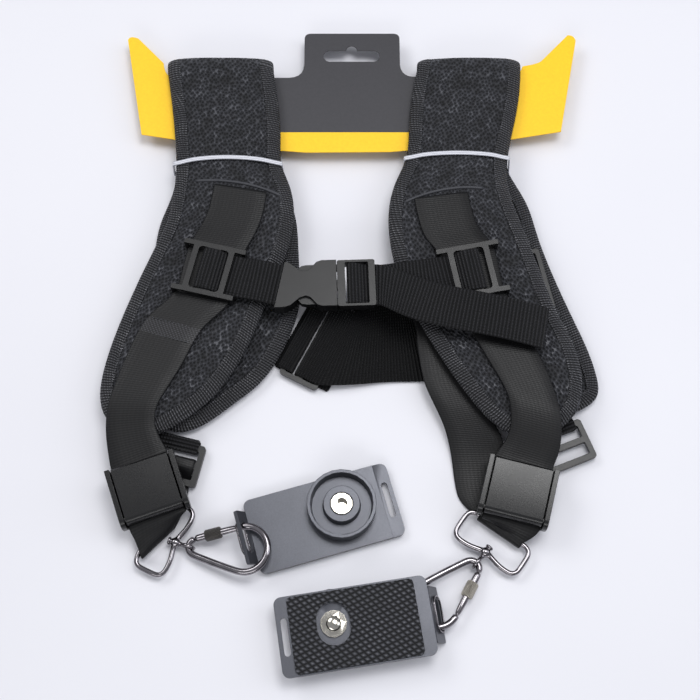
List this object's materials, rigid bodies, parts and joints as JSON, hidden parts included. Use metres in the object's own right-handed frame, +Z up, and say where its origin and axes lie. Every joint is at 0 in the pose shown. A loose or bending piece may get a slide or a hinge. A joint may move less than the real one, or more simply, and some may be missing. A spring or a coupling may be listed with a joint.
{
  "type": "dual camera harness on a hang card",
  "caption": "Padded shoulder harness with a chest buckle, back straps and snap hooks that carry camera plates, draped over a hang card.",
  "frame": {"origin": "on the resting surface, under the middle of the whole harness as it lies", "axes": "+Z up from the surface, +Y from the camera plates to the hang card, +X to the side of the longer chest strap"},
  "size_m": [0.2834, 0.3944, 0.0322],
  "materials": {
    "pad_mesh": "open air mesh over foam, matt",
    "binding_tape": "ribbed woven tape with one stitched line",
    "carry_webbing": "smooth woven nylon with a soft sheen",
    "ribbed_webbing": "coarse woven webbing with ribs across it",
    "band_elastic": "thin white elastic",
    "dark_plastic": "satin dark grey",
    "nickel_wire": "bright gunmetal plating",
    "steel": "satin steel with fine knurling",
    "plate_metal": "dark grey anodised, fine grain",
    "rubber_pad": "matt with a raised diagonal grid",
    "card": "printed card, yellow with a dark grey middle"
  },
  "bodies": {
    "harness": {"shoulder_pad_left": "pad_mesh", "edge_binding_left": "binding_tape", "pad_band_left": "band_elastic", "carry_strap_left": "carry_webbing", "sternum_slider_left": "dark_plastic", "chest_strap_left": "ribbed_webbing", "stopper_body_left": "dark_plastic", "stopper_pin_left": "dark_plastic", "strap_ring_left": "nickel_wire", "swivel_left": "nickel_wire", "hook_body_left": "nickel_wire", "camera_plate_left": "plate_metal", "plate_rubber_left": "rubber_pad", "plate_eyelet_left": "nickel_wire", "ladder_lock_left": "dark_plastic", "ladder_tab_left": "ribbed_webbing", "shoulder_pad_right": "pad_mesh", "edge_binding_right": "binding_tape", "pad_band_right": "band_elastic", "carry_strap_right": "carry_webbing", "sternum_slider_right": "dark_plastic", "chest_strap_right": "ribbed_webbing", "stopper_body_right": "dark_plastic", "stopper_pin_right": "dark_plastic", "strap_ring_right": "nickel_wire", "swivel_right": "nickel_wire", "hook_body_right": "nickel_wire", "camera_plate_right": "plate_metal", "plate_rubber_right": "rubber_pad", "plate_eyelet_right": "nickel_wire", "ladder_lock_right": "dark_plastic", "ladder_tab_right": "ribbed_webbing", "chest_buckle_female": "dark_plastic", "chest_buckle_male": "dark_plastic", "back_strap": "ribbed_webbing", "back_tab_left": "ribbed_webbing", "back_adjuster_left": "dark_plastic", "back_adjuster_right": "dark_plastic", "hang_card": "card"},
    "lid_left": {"stopper_lid_left": "dark_plastic"},
    "gate_left": {"hook_gate_left": "nickel_wire"},
    "sleeve_left": {"gate_sleeve_left": "steel"},
    "knob_left": {"plate_knob_left": "dark_plastic", "knob_screw_left": "steel"},
    "lid_right": {"stopper_lid_right": "dark_plastic"},
    "gate_right": {"hook_gate_right": "nickel_wire"},
    "sleeve_right": {"gate_sleeve_right": "steel"},
    "knob_right": {"plate_knob_right": "dark_plastic", "knob_screw_right": "steel"}
  },
  "joints": [
    {"name": "stopper_lid_left_hinge", "type": "hinge", "parent": "harness", "child": "lid_left", "pos_m": [-0.10668, -0.10959, 0.01664], "axis": [0.9426, 0.3338, 0], "range_deg": [0, 90]},
    {"name": "stopper_lid_right_hinge", "type": "hinge", "parent": "harness", "child": "lid_right", "pos_m": [0.08731, -0.1114, 0.01664], "axis": [0.9681, -0.2504, 0], "range_deg": [0, 90]},
    {"name": "hook_gate_left_hinge", "type": "hinge", "parent": "harness", "child": "gate_left", "pos_m": [-0.08337, -0.12265, 0.00551], "axis": [0.1543, -0.0111, -0.988], "range_deg": [0, 22], "stiffness_Nm_per_rad": 0.004},
    {"name": "gate_sleeve_left_slide", "type": "slide", "parent": "gate_left", "child": "sleeve_left", "axis": [0.9636, 0.2226, 0.148], "range_m": [0, 0.006]},
    {"name": "hook_gate_right_hinge", "type": "hinge", "parent": "harness", "child": "gate_right", "pos_m": [0.06757, -0.14315, 0.0049], "axis": [-0.0276, -0.0267, -0.9993], "range_deg": [0, 22], "stiffness_Nm_per_rad": 0.004},
    {"name": "gate_sleeve_right_slide", "type": "slide", "parent": "gate_right", "child": "sleeve_right", "axis": [-0.4856, -0.8734, 0.0367], "range_m": [0, 0.006]},
    {"name": "plate_knob_left_turn", "type": "hinge", "parent": "harness", "child": "knob_left", "pos_m": [-0.00541, -0.10539, 0.00939], "axis": [0, 0, 1], "continuous": true},
    {"name": "plate_knob_right_turn", "type": "hinge", "parent": "harness", "child": "knob_right", "pos_m": [-0.00949, -0.16944, 0.00549], "axis": [0, 0, -1], "continuous": true}
  ]
}
